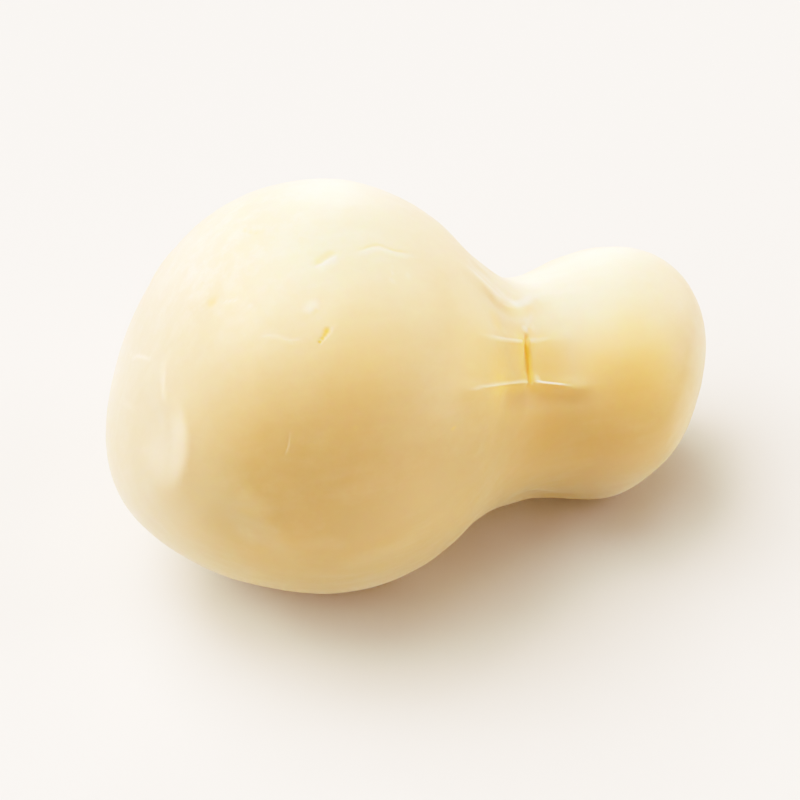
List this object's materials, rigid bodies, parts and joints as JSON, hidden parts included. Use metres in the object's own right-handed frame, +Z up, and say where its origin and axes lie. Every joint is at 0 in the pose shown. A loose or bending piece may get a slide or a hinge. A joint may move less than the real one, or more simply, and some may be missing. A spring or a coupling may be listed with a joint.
{
  "type": "scamorza cheese",
  "caption": "Whole pulled-curd cheese lying on its side: a large ball drawn in by its string to a narrow neck and a small rounded head.",
  "frame": {"origin": "on the surface it rests on, under the middle of its box", "axes": "+Z up as it lies, +X from the ball towards the head, +Y to the side turned away from the picture"},
  "size_m": [0.1214, 0.0778, 0.0756],
  "materials": {
    "cheese": "smooth satin curd skin, cream turning to straw yellow"
  },
  "bodies": {
    "root": {"scamorza": "cheese"}
  },
  "joints": []
}
